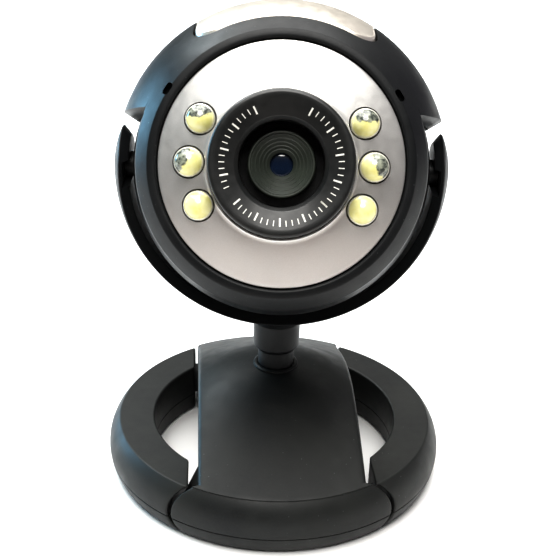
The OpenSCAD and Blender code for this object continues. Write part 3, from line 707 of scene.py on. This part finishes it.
def make_gland():
    """Soft grommet where the cable goes in, with strain-relief ribs."""
    outline = [(CABLE_R, -22.0), (3.9, -22.0), (3.9, -22.3), (2.95, -22.3), (2.95, -24.6),
               (4.4, -24.6, 0.3), (4.25, -25.3, 0.1), (3.9, -25.45), (3.9, -25.7), (4.15, -25.8, 0.1),
               (4.05, -26.4, 0.1), (3.7, -26.5), (3.7, -26.8), (3.9, -26.9, 0.1), (3.4, -27.6, 0.3),
               (CABLE_R, -27.6, 0.2)]
    obj = raw_object("cable_grommet", [lathe(rounded(outline), 96)])
    finish(obj, OPTIC, "head", RUBBER, ["cable_gland"])


# ---------- optics ----------
RING_R = 10.85
RING_BORE_R = 6.4
RING_BACK_T = 15.6
RING_FRONT_T = 25.5
RING_HOLLOW = (7.6, 9.65)
RING_FACE = ((6.95, 24.72), (9.6, 25.42))
BARREL_R = 5.0
BARREL_FOOT_R = 5.95
BARREL_BACK_T = 4.0
BARREL_FRONT_T = 21.5
LENS_R = 4.1


def make_focus_ring():
    """The large ring: a hollow wall, a foot flange behind the plate and a sloping front face."""
    hollow_in, hollow_out = RING_HOLLOW
    foot_r, foot_t, guide_r, guide_t = 11.3, 16.6, 5.25, 17.4
    outline = [(hollow_in, RING_BACK_T), (hollow_in, 23.0), (hollow_out, 23.6), (hollow_out, foot_t),
               (foot_r, foot_t, 0.1), (foot_r, foot_t + 1, 0.2), (RING_R - 0.15, 17.7), (RING_R - 0.15, 18.1),
               (RING_R, 18.2, 0.08), (RING_R, RING_FRONT_T, 0.95), RING_FACE[1], (*RING_FACE[0], 0.25),
               (RING_BORE_R, 24.1, 0.25), (RING_BORE_R, guide_t), (guide_r, guide_t), (guide_r, RING_BACK_T)]
    obj = raw_object("focus_ring_grip", [lathe(rounded(outline, 6), 256)])
    finish(obj, OPTIC, "focus_ring", GLOSS, ["focus_ring"])


def ring_front(r):
    """Height of the focus ring's sloping front face."""
    (low_r, low_t), (high_r, high_t) = RING_FACE
    return low_t + (high_t - low_t) * (r - low_r) / (high_r - low_r)


def scale_mark(low, high, wide):
    """One printed mark, a thin bar that stands just proud of the ring's front."""
    proud, thick = 0.015, 0.05
    rows = []
    for r in (low, high):
        t = ring_front(r) + proud
        rows.append([(r, -wide / 2, t), (r, wide / 2, t),
                     (r, wide / 2, t - thick), (r, -wide / 2, t - thick)])
    return grid(np.array(rows), wrap_rows=False, caps=True)


def make_focus_scale():
    """Printed marks on the focus ring in three groups, each fourth one long."""
    groups = ((118, 205, 15), (-42, 62, 17), (222, 318, 17))
    long_mark, short_mark = scale_mark(7.9, 9.15, 0.26), scale_mark(8.3, 9.15, 0.15)
    solids = []
    for start, end, count in groups:
        for k in range(count):
            a = start + (end - start) * k / (count - 1)
            solids.append(moved(short_mark if k % 4 else long_mark, turn=turned(a)))
    obj = raw_object("focus_scale_marks", solids)
    finish(obj, OPTIC, "focus_ring", PRINT, weighted=False)


def make_barrel():
    """The barrel, whose front narrows in fine steps to the aperture before the lens."""
    steps = [(4.45, 21.1), (3.87, 20.75), (3.29, 20.4), (2.75, 20.1), (2.25, 19.8)]
    wall_r, aperture_r, aperture_t, bore_r = BARREL_R + 0.2, 1.75, 18.9, LENS_R + 0.1
    outline = [(BARREL_FOOT_R, BARREL_BACK_T), (BARREL_FOOT_R, 13.4, 0.1), (wall_r, 13.5),
               (wall_r, 19.4, 0.1), (BARREL_R, 19.6), (BARREL_R, BARREL_FRONT_T, 0.2),
               (BARREL_R - 0.35, BARREL_FRONT_T, 0.1)]
    for r, t in steps:
        outline += [(r + 0.12, t, 0.03), (r, t + 0.06, 0.03), (r - 0.1, t - 0.02, 0.03)]
    outline += [(aperture_r + 0.1, 19.55, 0.05), (aperture_r, 19.45, 0.05), (aperture_r, aperture_t),
                (bore_r, aperture_t), (bore_r, BARREL_BACK_T)]
    obj = raw_object("lens_barrel_tube", [lathe(rounded(outline, 3), 192)])
    finish(obj, OPTIC, "lens_barrel", BARREL, ["lens_barrel"], sharp=50)


def make_front_lens():
    """A lens that bulges to the front and a little to the back."""
    front_rise, back_rise, back_t, edge = 1.0, 0.4, 16.2, 1.6
    front_r = (LENS_R * LENS_R + front_rise * front_rise) / (2 * front_rise)
    back_r = (LENS_R * LENS_R + back_rise * back_rise) / (2 * back_rise)
    radii = [LENS_R * k / 24 for k in range(25)]
    back = [(q, back_t - back_rise + back_r - on_sphere(back_r, q)) for q in radii]
    front = [(q, back_t + edge + front_rise - front_r + on_sphere(front_r, q)) for q in reversed(radii)]
    obj = raw_object("front_lens_element", [lathe(back + front, 96)])
    finish(obj, OPTIC, "lens_barrel", LENS, ["front_lens"])


# ---------- yoke ----------
YOKE_R = 27.7
YOKE_EDGE_R = 26.3
YOKE_IN_R = 24.9
YOKE_HW = 6.5
YOKE_IN_HW = 4.9
CHANNEL_HW = 2.15
CHANNEL_X = (22.0, 25.8)
STEM_R = 4.1
NECK_R = 3.2
NECK_END_Z = 12.9


def yoke_half(n=12):
    """(distance from the middle line, radius) from the outer middle round the edge to the inner one."""
    rise, corner_r = YOKE_R - YOKE_EDGE_R, 0.35
    crown_r = (YOKE_HW * YOKE_HW + rise * rise) / (2 * rise)
    reach = YOKE_HW - corner_r
    outer = [(reach * k / n, YOKE_R - crown_r + on_sphere(crown_r, reach * k / n)) for k in range(n + 1)]
    corner = [(YOKE_HW, YOKE_EDGE_R - 0.05, corner_r), (YOKE_IN_HW, YOKE_IN_R, 0.3)]
    path = rounded([outer[-1], *corner, (0, YOKE_IN_R)], 5)
    return outer[:-1] + path[:-1] + [(YOKE_IN_HW * 0.9 * (1 - k / 5), YOKE_IN_R) for k in range(1, 6)]


def make_yoke():
    """The C-shaped arms with round tips and open channels for the trunnions, and the stem below."""
    half = yoke_half()
    loop = half + [(-y, r) for y, r in reversed(half[1:-1])]
    arch = []
    for a in np.linspace(-math.pi / 2, math.pi / 2, 145):
        arch.append([(r * math.sin(a), y, -r * math.cos(a)) for y, r in loop])
    solids = [grid(np.array(arch), wrap_rows=False)]
    for side in (-1, 1):
        tip = []
        for a in np.linspace(0, math.pi, 49):
            tip.append([(side * r, y * math.cos(a), y * math.sin(a)) for y, r in half])
        solids.append(grid(np.array(tip), wrap_rows=False, wrap_cols=False))
    obj = raw_object("yoke_arms", [merged(solids)])
    past_edge = -14
    channel = [(past_edge, -CHANNEL_HW), (0, -CHANNEL_HW), (0, CHANNEL_HW), (past_edge, CHANNEL_HW)]
    channels = []
    for side in (-1, 1):
        low, high = sorted(side * x for x in CHANNEL_X)
        channels.append(moved(prism(channel, low, high), turn=((0, 0, 1), (1, 0, 0), (0, 1, 0))))
        channels.append(along_x(drum(CHANNEL_HW, low, high, 40)))
    carve(obj, channels)
    neck_end = NECK_END_Z - HEAD_Z
    stem = [(0, neck_end), (NECK_R, neck_end), (NECK_R, -33.95, 0.15), (NECK_R + 0.35, -33.6, 0.2),
            (STEM_R, -33.0, 0.3), (STEM_R, -28.2, 0.8), (STEM_R + 1.1, -26.9, 0.1), (0, -26.2)]
    join(obj, raw_object("yoke_stem", [lathe(rounded(stem, 6), 96)]))
    finish(obj, YOKE, "yoke", BLACK, ["yoke"])


# ---------- stand: z is the height over the table, r the distance from the stem's axis ----------
BULGE_R = 7.25
BULGE_AT = 22.95
BULGE_Z = 4.6
TOP_R = 28.2
IN_R = 21.9
REAR_IN_R = 20.8
TOP_Z = 9.6
EDGE_Z = 9.95
UNDER_Z = 9.3
SEAM_Z = 3.6
SEAM_GAP = 0.12
FOOT_Z = 0.4
FRONT = -math.pi / 2
BRIDGE_HW = 14.0
CROWN_Z = 20.0
LIP_Y = 23.7
LEG_Y = 23.2
LEG_CUT_X = 15.6
LEG_END_X = 14.7
HINGE_Y = 20
HINGE_Z = 5
STEM_HOLE_R = 3.25


def wall_angle(z):
    """Angle on the bulging wall's circle at one height."""
    return math.degrees(math.asin((z - BULGE_Z) / BULGE_R))


def ring_part(outline, start, end, place_angle, mirrored=False, steps=72, edge=0.35):
    """Sweeps a (radius, height) outline round the stand between two angles.

    The angles depend on the radius, and the sweep's two ends have rounded edges.
    """
    rows = []
    ease = [(edge * (1 - math.cos(q)), edge * (1 - math.sin(q))) for q in np.linspace(math.pi / 2, 0, 5)]
    stations = [(0, inset, back) for inset, back in ease]
    stations += [(k / steps, 0, None) for k in range(1, steps)]
    stations += [(1, inset, back) for inset, back in reversed(ease)]
    for share, inset, back in stations:
        ring = shrunk(outline, inset) if inset else np.array(outline, float)
        row = []
        for (r, z), (r0, _) in zip(ring, outline):
            a0, a1 = start(r0), end(r0)
            pull = edge / r0
            if back is None:
                a = a0 + pull + (a1 - a0 - 2 * pull) * share
            else:
                a = a0 + back / r0 if share == 0 else a1 - back / r0
            a += place_angle
            row.append((r * math.cos(a) * (-1 if mirrored else 1), r * math.sin(a), z))
        rows.append(row)
    return grid(np.array(rows), wrap_rows=False, caps=True)


def upper_wall(n=18, low=SEAM_Z, top=TOP_Z):
    """The bulging outer wall from the parting line, or from a lower point, up to its top edge."""
    return arc(BULGE_AT, BULGE_Z, BULGE_R, wall_angle(low), wall_angle(top), n)


def lower_shell(n=12):
    """Outline of a lower shell, from the foot up to just below the parting line."""
    top = SEAM_Z - SEAM_GAP
    wall = arc(BULGE_AT, BULGE_Z, BULGE_R, wall_angle(FOOT_Z), wall_angle(top), n)
    outline = [(IN_R, FOOT_Z, 0.3), (wall[0][0], FOOT_Z, 0.4), *wall[1:-1],
               (wall[-1][0], top, 0.12), (IN_R, top, 0.1)]
    return rounded(outline, 3)


def leg_start(r):
    """The leg's front end: a cut beside the bridge, and one behind the lip."""
    beside = -math.acos(min(LEG_CUT_X / r, 1))
    behind = -math.asin(min(LEG_Y / r, 1))
    return max(beside, behind)


def leg_end(r):
    """The leg's back end, where it meets the hinge."""
    return math.acos(LEG_END_X / r)


def strap_reach(r):
    """Half angle of the bridge's strap at one radius."""
    return math.asin(BRIDGE_HW / r)


def lip_reach(r):
    """Half angle of the lip at one radius, measured from the front."""
    ends = math.acos(LIP_Y / r) if r > LIP_Y else 0
    return max(strap_reach(r), ends)


def dome(r):
    """Height of the bridge's upper face at radius r from the stem."""
    cap_r, cap_at = 30.0, 11.0
    if r <= cap_at:
        return CROWN_Z - cap_r + on_sphere(cap_r, r)
    edge = CROWN_Z - cap_r + on_sphere(cap_r, cap_at)
    return edge + (EDGE_Z - edge) * (r - cap_at) / (TOP_R - cap_at)


def make_legs():
    """The ring's two halves, each of an upper and a lower shell."""
    wall = upper_wall()
    top = rounded([(IN_R, SEAM_Z, 0.1), (wall[0][0], SEAM_Z, 0.12), *wall[1:-1],
                   (TOP_R, TOP_Z, 0.55), (IN_R, TOP_Z, 0.4)], 3)
    for side, mirrored in (("right", False), ("left", True)):
        for half, outline in (("top", top), ("bottom", lower_shell())):
            solid = ring_part(outline, leg_start, leg_end, 0, mirrored, 96)
            obj = raw_object(f"{side}_leg_{half}_shell", [solid])
            finish(obj, STAND, "clip_legs", STAND_BLACK_PAINTED_SHEEN, [f"{side}_leg_{half}"])


def strap():
    """The bridge's broad strap, a closed loop across it at each station from front to back."""
    edge_r, under, bevel, reach, sunk = 0.7, 8.75, 0.3, 27.75, 0.015
    flat = BRIDGE_HW - edge_r
    corner = [(flat + edge_r * math.sin(a), sunk + edge_r * (1 - math.cos(a)))
              for a in np.radians(np.linspace(0, 90, 7))[1:]]
    across = [(-x, sunk) for x in np.linspace(-flat, flat, 41)] + [(-x, drop) for x, drop in corner]
    base = [(-BRIDGE_HW, under + bevel), (bevel - BRIDGE_HW, under), (BRIDGE_HW - bevel, under),
            (BRIDGE_HW, under + bevel)]

    def on_dome(station, x, drop):
        y = station * on_sphere(reach, abs(x))
        return x, y, dome(math.hypot(x, y)) - drop

    rows = []
    for station in np.linspace(-1, 1, 121):
        row = [on_dome(station, x, drop) for x, drop in across]
        row += [(x, row[-1][1], z) for x, z in base]
        row += [on_dome(station, x, drop) for x, drop in reversed(corner)]
        rows.append(row)
    return grid(np.array(rows), wrap_rows=False, caps=True)


def make_bridge():
    """The arched bridge: front lip, strap, rear block with the hinge's bores, and the stem's collar."""
    wall = upper_wall(22, SEAM_Z, EDGE_Z)
    corner_r = math.hypot(BRIDGE_HW, LIP_Y)
    lip = [(IN_R, SEAM_Z), (wall[0][0], SEAM_Z, 0.12), *wall[1:-1], (TOP_R, EDGE_Z, 1.3),
           (corner_r, dome(corner_r)), (corner_r - 0.4, UNDER_Z), (IN_R, UNDER_Z)]
    front = ring_part(rounded(lip, 6), lambda r: -lip_reach(r), lip_reach, FRONT)
    wall = upper_wall(34, FOOT_Z, EDGE_Z)
    rear = [(REAR_IN_R, FOOT_Z), (wall[0][0], FOOT_Z, 0.4), *wall[1:-1], (TOP_R, EDGE_Z, 1.3),
            (27.5, dome(27.5)), (27.0, UNDER_Z), (REAR_IN_R, UNDER_Z)]
    back = ring_part(rounded(rear, 6), lambda r: -strap_reach(r), strap_reach, -FRONT)
    obj = raw_object("bridge_back", [back])
    leg_bore, spring_room = drum(2.85, -30, 30, 48), drum(4.1, -6, 6, 64)
    carve(obj, [moved(along_x(bore), offset=(0, HINGE_Y, HINGE_Z)) for bore in (leg_bore, spring_room)])
    top = raw_object("bridge_top", [strap()])
    carve(top, [drum(STEM_HOLE_R, 5, 30, 64)])
    join(obj, top)
    join(obj, raw_object("bridge_front", [front]))
    collar = [(STEM_HOLE_R, 19.4), (4.0, 19.4), (4.0, 19.98, 0.1), (3.7, 20.14, 0.12),
              (STEM_HOLE_R + 0.05, 20.14, 0.05), (STEM_HOLE_R, 20.0)]
    join(obj, raw_object("bridge_collar", [lathe(rounded(collar, 3), 96)]))
    obj.name = "bridge_moulding"
    finish(obj, STAND, "bridge", STAND_BLACK_PAINTED_SHEEN, ["bridge_shell"], sharp=33)


def make_lip_base():
    """The lower shell of the lip."""
    solid = ring_part(lower_shell(14), lambda r: -lip_reach(r), lip_reach, FRONT)
    obj = raw_object("lip_base_shell", [solid])
    finish(obj, STAND, "bridge", STAND_BLACK_PAINTED_SHEEN, ["lip_base"])


# ---------- CAD nodes that stay ----------
def dress_cad_nodes():
    """Gives the inner pieces their finishes. Their shapes are the CAD part's."""
    finishes = {
        INNER: ["bridge_cover", "hinge_barrel", "controller_chip", "tact_switch", "lens_holder",
                "lens_spacer", "lens_retainer"],
        RUBBER: ["bridge_pads", "leg_pads"],
        STEEL: ["bridge_screws", "spring_washer", "hinge_pin", "leg_screws", "swivel_washer",
                "swivel_screw", "housing_screws", "board_screws", "holder_screws", "led_leads"],
        SPRING: ["clip_spring"],
        CAN: ["microphone"],
        GREEN_BOARD: ["main_board"],
        WHITE_BOARD: ["led_board"],
        CERAMIC: ["image_sensor"],
        CREAM: ["board_header"],
        FILTER: ["ir_filter"],
        GLASS: ["rear_lens"],
    }
    for material, nodes in finishes.items():
        for name in nodes:
            mesh = frame["nodes"][name].data
            mesh.materials.clear()
            mesh.materials.append(material)


# ---------- studio ----------
def make_floor():
    """A pale floor, painted a warm grey further out in front as a painted dark surround for the reflections
    in the plate and the stand, and a soft grey at the sides.
    """
    mesh = bpy.data.meshes.new("studio_floor")
    half = 3.0
    corners = [(-half, -half, 0), (half, -half, 0), (half, half, 0), (-half, half, 0)]
    mesh.from_pydata(corners, [], [(0, 1, 2, 3)])
    floor = bpy.data.objects.new("studio_floor", mesh)
    bpy.context.scene.collection.objects.link(floor)
    f = Finish("pale floor", Roughness=0.9, Specular_IOR_Level=0.1)
    paper = f.mix(f.ramp(f.noise(4), 0.3, 0.7), (0.86, 0.86, 0.85), (0.9, 0.9, 0.9))
    axes = node(f.tree, "SeparateXYZ", {0: f.place})
    painted_dark_front = f.ramp(axes.outputs["Y"], -0.045, -0.14)
    pale_width = f.maths("MULTIPLY", f.maths("ADD", axes.outputs["Y"], 0.2), 0.45)
    aside = f.maths("SUBTRACT", f.maths("ABSOLUTE", axes.outputs["X"], 0), pale_width)
    paper = f.mix(f.ramp(aside, 0.0, 0.2), paper, (0.55, 0.55, 0.55))
    # painted shade: warm grey in front, a dark surround that the plate and the stand reflect
    f.link("Base Color", f.mix(painted_dark_front, paper, (0.34, 0.30, 0.282)))
    mesh.materials.append(f.material)


def soft_light(name, place, size, power, colour):
    """A round area light in metres and watts that faces the head."""
    light = bpy.data.lights.new(name, "AREA")
    light.shape = "DISK"
    light.size = size
    light.energy = power
    light.color = colour
    obj = bpy.data.objects.new(name, light)
    obj.location = place
    obj.rotation_euler = (CENTRE - Vector(place)).to_track_quat("-Z", "Y").to_euler()
    bpy.context.scene.collection.objects.link(obj)


def make_world():
    """A dim room: teal to the left, mauve to the right, pale overhead, and dark low in front."""
    world = bpy.data.worlds.new("studio")
    bpy.context.scene.world = world
    world.use_nodes = True
    tree = world.node_tree
    axes = node(tree, "SeparateXYZ", {0: node(tree, "TexCoord").outputs["Generated"]})

    def ramp(axis, low, high):
        inputs = {"Value": axes.outputs[axis], "From Min": low, "From Max": high}
        return node(tree, "MapRange", inputs, interpolation_type="SMOOTHSTEP").outputs["Result"]

    sides = mixed(tree, ramp("X", -0.1, -0.9), (0.15, 0.155, 0.14), (0.25, 0.34, 0.38))
    sides = mixed(tree, ramp("X", 0.2, 0.9), sides, (0.20, 0.18, 0.22))
    above = mixed(tree, ramp("Z", 0.5, 0.95), sides, (0.8, 0.8, 0.78))
    dark = node(tree, "Math", {0: ramp("Y", -0.1, -0.75), 1: ramp("Z", 0.8, 0.4)}, operation="MULTIPLY")
    sky = mixed(tree, dark.outputs[0], above, (0.025, 0.022, 0.022))
    tree.links.new(sky, tree.nodes["Background"].inputs["Color"])
    tree.nodes["Background"].inputs["Strength"].default_value = 1.0


def make_camera():
    """Straight in front of the yoke, looking down on the stand and almost squarely at the face plate."""
    lens_mm, sensor_mm, back_m, up_m, pitch, roll = 73.3, 36.0, 0.1795, 0.0653, 25.8, 1.7
    camera = bpy.data.objects.new("camera", bpy.data.cameras.new("camera"))
    camera.data.lens = lens_mm
    camera.data.sensor_width = sensor_mm
    camera.data.clip_start = 0.01
    camera.data.shift_x = 0.0036
    camera.data.shift_y = 0.0072
    place = CENTRE - BACKWARD * back_m + VERTICAL * up_m
    a = math.radians(pitch)
    look = BACKWARD * math.cos(a) - VERTICAL * math.sin(a)
    up = BACKWARD * math.sin(a) + VERTICAL * math.cos(a)
    turn = Matrix((look.cross(up), up, -look)).transposed().to_4x4()
    camera.matrix_world = Matrix.Translation(place) @ turn @ Matrix.Rotation(math.radians(roll), 4, "Z")
    bpy.context.scene.collection.objects.link(camera)
    bpy.context.scene.camera = camera


make_camera()
make_world()
make_floor()
soft_light("top softbox", (-0.1, 0.3, 1.0), 1.4, 22.0, (1.0, 0.99, 0.97))
soft_light("front softbox", (-0.03, -0.34, 0.64), 0.48, 5.0, (1.0, 0.98, 0.95))
soft_light("left softbox", (-0.55, 0.38, 0.14), 0.3, 3.0, (0.36, 0.72, 1.0))
soft_light("window", (-0.36, 0.53, 0.54), 0.2, 1.5, (0.85, 0.96, 1.0))
make_hood()
make_button()
make_face_plate()
make_lamps()
make_rear_cup()
make_gland()
make_focus_ring()
make_focus_scale()
make_barrel()
make_front_lens()
make_yoke()
make_legs()
make_bridge()
make_lip_base()
dress_cad_nodes()
bpy.context.scene.view_settings.view_transform = "Standard"
bpy.context.scene.view_settings.gamma = 0.8
